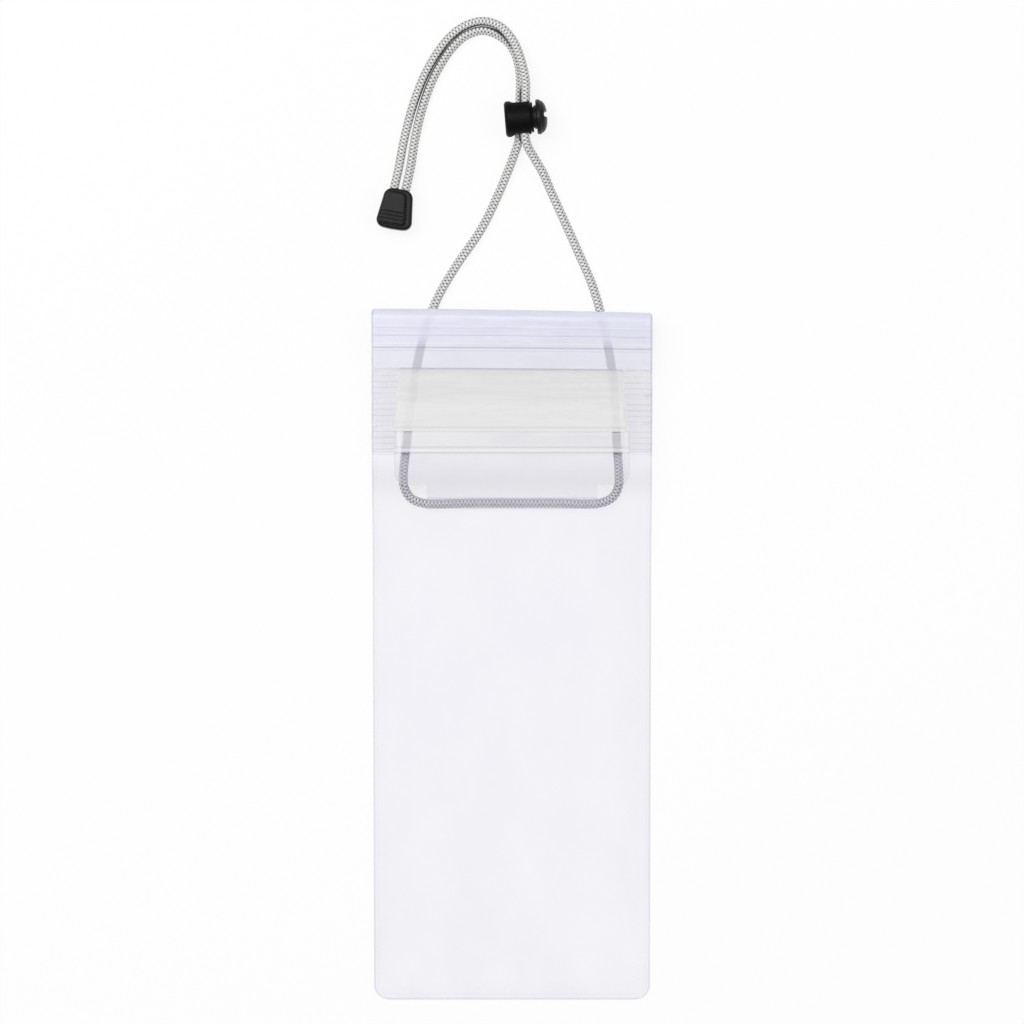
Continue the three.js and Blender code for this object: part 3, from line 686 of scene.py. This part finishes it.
def build_zips(materials):
    """Six ribbed strips; each is one surface that goes up and down over its rails."""
    strip_width, gap, base, margin = 8.7, 0.8, 0.4, 0.25
    rail_pitch, rail_half, rail_height = 2.0, 0.3, 0.7
    top = 96.7
    for i, name in enumerate(("upper", "middle", "lower")):
        centre = top - strip_width / 2 - i * (strip_width + gap)
        for side, level, turn in (
            ("outer", ZIP_BOTTOM_Z + base / 2, 1), ("inner", ZIP_TOP_Z - base / 2, -1)
        ):
            profile = [(-strip_width / 2 - margin, 0, 0.0)]
            for k in range(4):
                rail = -3.5 + k * rail_pitch if turn > 0 else -2.5 + k * rail_pitch
                low, high = rail - rail_half, rail + rail_half
                profile += [(low - 0.06, 0, 0.0), (low, 0.1, 0.5), (low + 0.08, rail_height, 1.0)]
                profile += [(high - 0.08, rail_height, 1.0), (high, 0.1, 0.5), (high + 0.06, 0, 0.0)]
            profile.append((strip_width / 2 + margin, 0, 0.0))
            bm = bmesh.new()
            layers = {key: bm.verts.layers.float.new(key) for key in ("rail", "edge")}
            half = half_width_at(centre) + margin
            for vertex, column, row in grid_numbers(bm, 25, len(profile)):
                x = (column / 24 * 2 - 1) * half
                y, raised, rail = profile[row]
                sway = 0.12 * noise.noise(Vector((x * 0.06, centre, turn)))
                place = centre + y + lean(x, centre + y) + sway
                vertex.co = Vector((x, place, level + turn * raised)) * MM
                vertex[layers["rail"]] = rail
                vertex[layers["edge"]] = min(half - abs(x), strip_width / 2 + margin - abs(y))
            finish_piece(
                bm, f"zip_{name}_{side}", materials[side], "pouch",
                [f"zip_{name}_{side}_strip"], smooth=False,
            )


def build_patch(name, level, material, node):
    """One tape of the hook and loop fastener, a little wider at its lower edge."""
    low_half, high_half, middle = 40.0, 38.4, -0.6
    bm = bmesh.new()
    layers = {key: bm.verts.layers.float.new(key) for key in ("along", "edge")}
    columns, rows = 61, 25
    for vertex, column, row in grid_numbers(bm, columns, rows):
        up = row / (rows - 1)
        half = low_half + (high_half - low_half) * up
        inset = corner_inset(min(up, 1 - up) * TAPE_HEIGHT, 1.2)
        x = (column / (columns - 1) * 2 - 1) * (half - inset) + middle
        y = TAPE_TOP - TAPE_HEIGHT + up * TAPE_HEIGHT
        buckle = 0.12 * noise.noise(Vector((x * 0.05, y * 0.12, level)))
        vertex.co = Vector((x, y + lean(x, y), level + buckle)) * MM
        vertex[layers["along"]] = up * TAPE_HEIGHT
        vertex[layers["edge"]] = min(half - abs(x - middle), 3)
    return finish_piece(bm, name, material, "pouch", [node])


def build_cord_tab(material):
    """Film tab under the back sheet whose lower end is turned round the cord."""
    half, narrow_half = 40, 29
    loop_radius = CORD_DIAMETER / 2 + 0.3 + 0.175
    points = [(y, back_level(y) - SHEET_STEP) for y in evenly(FLAP_END + 7.8, FLAP_END - 10.3, 24)]
    for degrees in evenly(118, 372, 28):
        angle = math.radians(degrees)
        points.append((LOOP_Y + loop_radius * math.cos(angle), LOOP_Z + loop_radius * math.sin(angle)))
    tab_rows = 25
    bm = bmesh.new()
    layers = {key: bm.verts.layers.float.new(key) for key in ("along", "edge")}
    lengths = [0.0]
    for (y0, z0), (y1, z1) in zip(points, points[1:]):
        lengths.append(lengths[-1] + math.hypot(y1 - y0, z1 - z0))
    inner = evenly(-narrow_half, narrow_half, 24)
    wide = evenly(-half, -narrow_half, 8)[:-1] + inner + evenly(narrow_half, half, 8)[1:]
    for across, rows in ((wide, range(tab_rows)), (inner, range(tab_rows - 1, len(points)))):
        for vertex, column, row in grid_numbers(bm, len(across), len(rows)):
            place = rows[row]
            y, z = points[place]
            x = across[column]
            if across is wide and abs(x) > narrow_half:
                left = lengths[tab_rows - 1] - lengths[place]
                ear = half - narrow_half
                kept = (ear - corner_inset(left, 4)) / ear
                x = math.copysign(narrow_half + (abs(x) - narrow_half) * kept, x)
            vertex.co = Vector((x, y + lean(x, y), z)) * MM
            vertex[layers["along"]] = lengths[place]
            vertex[layers["edge"]] = (half if across is wide else narrow_half + 1.3) - abs(x)
    bmesh.ops.remove_doubles(bm, verts=bm.verts, dist=0.001 * MM)
    piece = finish_piece(bm, "cord_tab", material, "pouch", ["cord_loop"])
    return piece


def round_edges(bm, edges, width, segments):
    bmesh.ops.bevel(
        bm, geom=edges, offset=width * MM, offset_type="OFFSET", affect="EDGES", segments=segments,
        profile=0.5, material=-1, clamp_overlap=True,
    )


# The cord lock, turned about an axis along X
def turned_piece(bm, profile, segments, rim):
    """Spins a profile of (x, radius) points in mm about the lock's axis and rounds its rims."""
    verts = [bm.verts.new((x * MM, 0, r * MM)) for x, r in profile]
    edges = [bm.edges.new(pair) for pair in zip(verts, verts[1:])]
    bmesh.ops.spin(
        bm, geom=verts + edges, cent=(0, 0, 0), axis=(1, 0, 0), angle=2 * math.pi, steps=segments,
        use_merge=True,
    )
    bmesh.ops.remove_doubles(bm, verts=bm.verts, dist=0.002 * MM)
    bmesh.ops.recalc_face_normals(bm, faces=bm.faces)
    sharp = [
        e for e in bm.edges
        if len(e.link_faces) == 2 and e.calc_face_angle() > math.radians(35)
        and abs(e.verts[0].co.x - e.verts[1].co.x) < 0.001 * MM
    ]
    round_edges(bm, sharp, rim, 3)


def rounded_bar(bm, size, place, radius, axis="Y"):
    """A bar with four round edges along one axis."""
    made = bmesh.ops.create_cube(bm, size=1)["verts"]
    bmesh.ops.scale(bm, vec=Vector(size) * MM, verts=made)
    along = "XYZ".index(axis)
    lengthwise = [
        e for e in bm.edges
        if abs((e.verts[0].co - e.verts[1].co)[along]) > 0.5 * size[along] * MM
    ]
    round_edges(bm, lengthwise, radius, 6)
    bmesh.ops.translate(bm, vec=Vector(place) * MM, verts=bm.verts)


def carve(bm, cutters):
    """The first bmesh with the cutters taken out of it."""
    mesh = bpy.data.meshes.new("whole")
    bm.to_mesh(mesh)
    bm.free()
    whole = bpy.data.objects.new("whole", mesh)
    bpy.context.scene.collection.objects.link(whole)
    tools = []
    for cutter in cutters:
        tool_mesh = bpy.data.meshes.new("tool")
        cutter.to_mesh(tool_mesh)
        cutter.free()
        tool = bpy.data.objects.new("tool", tool_mesh)
        bpy.context.scene.collection.objects.link(tool)
        modifier = whole.modifiers.new("carve", "BOOLEAN")
        modifier.operation = "DIFFERENCE"
        modifier.solver = "EXACT"
        modifier.object = tool
        tools.append(tool)
    bpy.context.view_layer.update()
    result = bmesh.new()
    result.from_object(whole, bpy.context.evaluated_depsgraph_get())
    for spent in (whole, *tools):
        bpy.data.objects.remove(spent)
    return result


def soften(piece, width):
    """Rounds what is left sharp on a carved piece, and keeps flat faces flat."""
    bevel = piece.modifiers.new("soft_edges", "BEVEL")
    bevel.width = width * MM
    bevel.segments = 2
    bevel.limit_method = "ANGLE"
    bevel.angle_limit = math.radians(50)
    bevel.use_clamp_overlap = True
    bevel.harden_normals = False
    smooth = piece.modifiers.new("flat_faces", "WEIGHTED_NORMAL")
    smooth.keep_sharp = False


LOCK_PLACE = Vector((-2.45, 182.4, 6.1)) * MM
LOCK_MIDDLE = LOCK_PLACE + Vector((6.2, 0, 0)) * MM
LOCK_TURN = Matrix.Rotation(math.radians(4.6), 3, "Z")
BARREL_FLOOR = 0.9


def put_in_lock(bm):
    """Moves what was built on the lock's own axis to its place and turn."""
    bmesh.ops.translate(bm, vec=LOCK_PLACE, verts=bm.verts)
    bmesh.ops.rotate(bm, cent=LOCK_MIDDLE, matrix=LOCK_TURN, verts=bm.verts)


def build_lock(barrel_plastic, button_plastic_painted_lighter):
    floor = BARREL_FLOOR
    barrel = bmesh.new()
    turned_piece(
        barrel,
        [(0, 0), (0, 5.2), (0.25, 5.65), (0.75, 6.1), (8.5, 6.1), (8.75, 5.85), (8.75, 5.15),
         (9.65, 5.15), (9.65, 4.4), (floor, 4.4), (floor, 0)],
        96, 0.14,
    )
    slot = bmesh.new()
    rounded_bar(slot, (7.0, 30, 6.1), (5.55, 0, 0), 1.8)
    barrel = carve(barrel, [slot])
    put_in_lock(barrel)
    barrel_piece = finish_piece(
        barrel, "lock_barrel_shell", barrel_plastic, "pouch", ["lock_barrel"]
    )
    soften(barrel_piece, 0.12)

    button = bmesh.new()
    turned_piece(
        button,
        [(2.75, 0), (2.75, 4.1), (10.75, 4.1), (10.75, 5.65), (11.05, 5.95), (12.0, 5.95),
         (12.3, 5.6), (12.75, 5.4), (13.2, 5.05), (13.65, 4.45), (14.05, 3.55), (14.3, 2.5),
         (14.42, 1.3), (14.45, 0)],
        96, 0.1,
    )
    slot = bmesh.new()
    rounded_bar(slot, (7.0, 30, 6.1), (6.65, 0, 0), 1.8)
    notch = bmesh.new()
    rounded_bar(notch, (2.6, 2.1, 30), (14.65, 0.6, 0), 0.75, axis="Z")
    button = carve(button, [slot, notch])
    put_in_lock(button)
    button_piece = finish_piece(
        button, "lock_push_button", button_plastic_painted_lighter, "button", ["lock_button"]
    )
    soften(button_piece, 0.1)
    return barrel_piece, button_piece


def build_spring(material):
    """A short cone-shaped coil between the barrel's floor and the button's stem."""
    low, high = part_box("lock_spring")
    wire, turns, wide, narrow = 0.2, 1.6, 3.3, 2.5
    start = (low[0] - LOCK_PLACE.x) / MM + wire
    end = (high[0] - LOCK_PLACE.x) / MM - wire
    around, steps = 12, 96
    bm = bmesh.new()
    for vertex, column, row in grid_numbers(bm, around + 1, steps + 1):
        share = row / steps
        turn = 2 * math.pi * turns * share
        angle = 2 * math.pi * column / around
        radius = wide + (narrow - wide) * share + wire * math.cos(angle)
        along = start + (end - start) * share + wire * math.sin(angle)
        vertex.co = Vector((along, radius * math.cos(turn), radius * math.sin(turn))) * MM
    bmesh.ops.remove_doubles(bm, verts=bm.verts, dist=0.005 * MM)
    bmesh.ops.holes_fill(bm, edges=[e for e in bm.edges if e.is_boundary], sides=0)
    bmesh.ops.recalc_face_normals(bm, faces=bm.faces)
    put_in_lock(bm)
    piece = finish_piece(bm, "lock_coil", material, "pouch", ["lock_spring"])
    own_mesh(piece)
    return piece


# The cord end: a tapered shell with a ribbed cover in its face
END_TURN = Matrix.Rotation(math.radians(-9.8), 4, "Z")
END_PLACE = Matrix.Translation(Vector((-39.4, 151.6, 0)) * MM) @ END_TURN


def tapered_block(
    bm, top_width, bottom_width, length, low, high, corner, rim, bottom_rim=None, bulge=0
):
    """A block that is wider at its lower end, with round corners and rims and a bulging foot."""
    bowed = [-1, *evenly(-0.5, 0.5, 8), 1] if bulge else [-1, 1]
    foot = [(bottom_width * s, -length - 2 * bulge * (1 - s * s)) for s in bowed]
    outline = [(-top_width, length), *foot, (top_width, length)]
    floor = bm.faces.new([bm.verts.new((x / 2 * MM, y / 2 * MM, low * MM)) for x, y in outline])
    raised = bmesh.ops.extrude_face_region(bm, geom=[floor])
    lifted = [g for g in raised["geom"] if isinstance(g, bmesh.types.BMVert)]
    bmesh.ops.translate(bm, vec=(0, 0, (high - low) * MM), verts=lifted)
    bmesh.ops.recalc_face_normals(bm, faces=bm.faces)
    upright = [
        e for e in bm.edges
        if abs(e.verts[0].co.z - e.verts[1].co.z) > 0.1 * MM and e.calc_face_angle() > math.radians(30)
    ]
    round_edges(bm, upright, corner, 10)
    for level, width in ((high, rim), (low, bottom_rim or rim)):
        ring = [e for e in bm.edges if all(abs(v.co.z - level * MM) < 0.01 * MM for v in e.verts)]
        round_edges(bm, ring, width, 5)


def build_cord_end(material):
    shell = bmesh.new()
    tapered_block(shell, 9.3, 12.7, 13.2, 0, 6.6, 2.6, 1.0, bulge=0.6)
    bmesh.ops.translate(shell, vec=Vector((0, 0.2, 0)) * MM, verts=shell.verts)
    pocket = bmesh.new()
    tapered_block(pocket, 7.5, 10.1, 11.5, 5.3, 12, 1.9, 0.1)
    bmesh.ops.translate(pocket, vec=Vector((-0.75, 0, 0)) * MM, verts=pocket.verts)
    bores = []
    for side in (-1, 1):
        bore = bmesh.new()
        middle = Matrix.Translation(Vector((side * 1.95, 6.8, 3.3)) * MM)
        bmesh.ops.create_cone(
            bore, cap_ends=True, segments=40, radius1=1.9 * MM, radius2=1.9 * MM, depth=10.8 * MM,
            matrix=middle @ Matrix.Rotation(math.pi / 2, 4, "X"),
        )
        bores.append(bore)
    shell = carve(shell, [pocket, *bores])
    bmesh.ops.transform(shell, matrix=END_PLACE, verts=shell.verts)
    shell_piece = finish_piece(
        shell, "cord_end_body", material, "pouch", ["cord_end_shell"]
    )
    soften(shell_piece, 0.12)

    cover = bmesh.new()
    tapered_block(cover, 7.0, 9.6, 11.2, 5.6, 7.7, 1.7, 0.75, 0.1)
    grooves = []
    for i in range(3):
        groove = bmesh.new()
        rounded_bar(groove, (20, 0.6, 1.2), (0, -3.8 + 1.25 * i, 7.7), 0.2, axis="X")
        grooves.append(groove)
    cover = carve(cover, grooves)
    bmesh.ops.translate(cover, vec=Vector((-0.95, 0, 0)) * MM, verts=cover.verts)
    bmesh.ops.transform(cover, matrix=END_PLACE, verts=cover.verts)
    cover_piece = finish_piece(
        cover, "cord_end_lid", material, "pouch", ["cord_end_cover"]
    )
    soften(cover_piece, 0.1)
    return shell_piece, cover_piece


# The cord and what is on it come first
# The barrel's black is the plastic's own; the lighter blacks of the push button and the cord end are
# painted light, for the lamps' light that their faces catch
lock_plastic = black_plastic_material("satin_black_barrel", 0.0015, 0.004, 0.42, 0.11)
button_plastic_painted_lighter = black_plastic_material("satin_black_button_painted_lighter", 0.004, 0.010, 0.34, 0.28)
end_plastic_painted_lighter = black_plastic_material("satin_black_end_painted_lighter", 0.005, 0.013, 0.3, 0.22)
cord, cord_route, cord_length = build_neck_cord(braid_material())
lock_barrel, lock_button = build_lock(lock_plastic, button_plastic_painted_lighter)
end_shell, end_cover = build_cord_end(end_plastic_painted_lighter)
lock_coil = build_spring(spring_material())

# Film sheets: lines are (distance along the sheet, half width, strength)
front_rows = folded_rows(lambda y: back_level(y) + SHEET_STEP, FRONT_TOP_Z, FLAP_FRONT_Z)
back_rows = folded_rows(back_level, BACK_TOP_Z, FLAP_BACK_Z)


def on_flap(rows, y):
    """Distance along a sheet to the place on its flap that lies at y."""
    return rows[-1][2] - (y - FLAP_END)


def on_back(y):
    """Distance along a sheet to the place on its body that lies at y."""
    row = min(range(len(BODY_STATIONS)), key=lambda i: abs(BODY_STATIONS[i] - y))
    return front_rows[row][2] + y - BODY_STATIONS[row]


# Dark pressed lines on the front sheet: painted shade in its furrows
front_shade_lines = [
    (on_back(110.8), 0.3, 0.15),
    (on_back(109.9), 0.25, 0.12),
    (on_back(108.4), 0.35, 0.25),
    (on_back(104.3), 0.4, 0.62),
    (on_back(103.2), 0.3, 0.25),
    (on_flap(front_rows, 97.3), 0.45, 0.7),
    (2.0, 0.35, 0.1),
]
# The front sheet's highlight lines and its oval glint are painted highlights
front_film = film_material(
    "clear_film_front", 0.09, front_shade_lines, [(on_back(105.6), 0.5, 0.15), (on_back(111.6), 0.3, 0.15)],
    haze_and_painted_light=[
        (on_back(-60.0), on_back(58.0), 0.105, CLEAR, 40.0),
        (on_back(50.0), on_back(69.0), 0.15, DIM, 10.0),
        (on_back(67.5), on_back(98.1), 0.05, CLEAR, 0.7),
        (on_back(97.2), on_back(108.5), 0.64, (0.778, 0.778, 0.91), 0.4),
        (on_back(104.0), on_back(FOLD_Y) + 9.0, 0.92, (0.752, 0.756, 0.888), 4.5),
        # painted light: a brighter stretch over the fold, where the turned film faces away from the
        # lamps
        (on_back(FOLD_Y) - 0.2, on_back(FOLD_Y) + 9.0, 0.92, (0.815, 0.82, 0.955), 1.2),
        (on_flap(front_rows, 112), on_flap(front_rows, 66), 0.055, CLEAR, 0.5),
    ],
    lens=(on_back(106.3), -7, 17, 1.5, 0.07),
)
# The back sheet's highlight line is a painted highlight on a pressed ridge
back_film = film_material(
    "clear_film_back", 0.09, [(2.0, 0.35, 0.1)], [(on_flap(back_rows, 71.0), 0.3, 0.2)],
    haze_and_painted_light=[
        (on_back(68.0), on_back(98.1), 0.05, CLEAR, 0.5),
        (on_flap(back_rows, 112), on_flap(back_rows, 66), 0.055, CLEAR, 0.5),
    ],
)
# The tab's dark lines are painted shade in pressed furrows; its highlight line and its whiter welded
# sides are painted highlights
tab_film = film_material(
    "clear_film_tab", 0.10,
    [(5.0, 0.35, 0.5), (6.9, 0.35, 0.5)],
    [(6.0, 0.5, 0.95)],
    haze_and_painted_light=[(-1.0, 7.2, 0.68, (0.955, 0.955, 0.925), 0.4), (7.2, 60.0, 0.26, (0.95, 0.93, 0.98), 0.4)],
    weld_highlight=0.6, rim_shade=0.25,
)
build_sheet("film_front", front_rows, True, 0.4, front_film, ["front_sheet"])
build_sheet("film_back", back_rows, False, 0.0, back_film, ["back_sheet"])
build_zips({
    "outer": zip_material("clear_zip_outer", 0.7),
    "inner": zip_material("clear_zip_inner", 0.2),
})
build_patch("hook_tape", HOOK_Z, patch_material("milky_hook_tape", 0.5, 0.25), "flap_hook_patch")
build_patch("loop_tape", LOOP_PATCH_Z, patch_material("milky_loop_tape", 0.86, 0.4), "back_loop_patch")
build_cord_tab(tab_film)


# Table and light
def build_table():
    bm = bmesh.new()
    bmesh.ops.create_grid(bm, x_segments=1, y_segments=1, size=3)
    mesh = bpy.data.meshes.new("table")
    bm.to_mesh(mesh)
    bm.free()
    table = bpy.data.objects.new("table", mesh)
    table.location.z = -0.15 * MM
    bpy.context.scene.collection.objects.link(table)
    material = bpy.data.materials.new("pale_table")
    material.use_nodes = True
    nodes = Nodes(material.node_tree)
    material.node_tree.nodes.clear()
    diffuse = nodes.add("ShaderNodeBsdfDiffuse")
    diffuse.inputs["Color"].default_value = (0.97, 0.97, 0.97, 1)
    glow = nodes.add("ShaderNodeEmission")
    glow.inputs["Strength"].default_value = 1.0
    light_path = nodes.add("ShaderNodeLightPath").outputs
    seen = nodes.maths("MAXIMUM", light_path["Is Camera Ray"], light_path["Is Glossy Ray"])
    seen = nodes.maths("MAXIMUM", seen, light_path["Is Transmission Ray"])
    share = nodes.maths("MULTIPLY", seen, 0.86)
    mixed = nodes.add("ShaderNodeMixShader")
    nodes.feed(mixed.inputs[0], share)
    nodes.feed(mixed.inputs[1], diffuse.outputs[0])
    nodes.feed(mixed.inputs[2], glow.outputs[0])
    end = nodes.add("ShaderNodeOutputMaterial")
    nodes.feed(end.inputs[0], mixed.outputs[0])
    mesh.materials.append(material)


def add_lamp(name, place, target, width, watts):
    lamp = bpy.data.lights.new(name, "AREA")
    lamp.shape = "SQUARE"
    lamp.size = width
    lamp.energy = watts
    held = bpy.data.objects.new(name, lamp)
    held.location = place
    held.rotation_euler = (Vector(target) - Vector(place)).to_track_quat("-Z", "Y").to_euler()
    bpy.context.scene.collection.objects.link(held)


def build_world(strength):
    world = bpy.data.worlds.new("room")
    bpy.context.scene.world = world
    world.use_nodes = True
    nodes = Nodes(world.node_tree)
    world.node_tree.nodes.clear()
    room = nodes.add("ShaderNodeBackground")
    room.inputs["Color"].default_value = (1, 1, 1, 1)
    room.inputs["Strength"].default_value = strength
    white = nodes.add("ShaderNodeBackground")
    white.inputs["Color"].default_value = (1, 1, 1, 1)
    white.inputs["Strength"].default_value = 0.99
    seen = nodes.add("ShaderNodeLightPath").outputs["Is Camera Ray"]
    mixed = nodes.add("ShaderNodeMixShader")
    nodes.feed(mixed.inputs[0], seen)
    nodes.feed(mixed.inputs[1], room.outputs[0])
    nodes.feed(mixed.inputs[2], white.outputs[0])
    end = nodes.add("ShaderNodeOutputWorld")
    nodes.feed(end.inputs[0], mixed.outputs[0])


build_table()
build_world(0.45)
add_lamp("lamp_above", (-0.35, 0.45, 1.45), (0, 0.05, 0), 0.9, 9)
add_lamp("lamp_left", (-0.75, 0.65, 1.15), (0, 0.05, 0), 0.8, 3.6)
add_lamp("lamp_right", (0.9, 0.1, 1.1), (0, 0.05, 0), 1.0, 2.2)
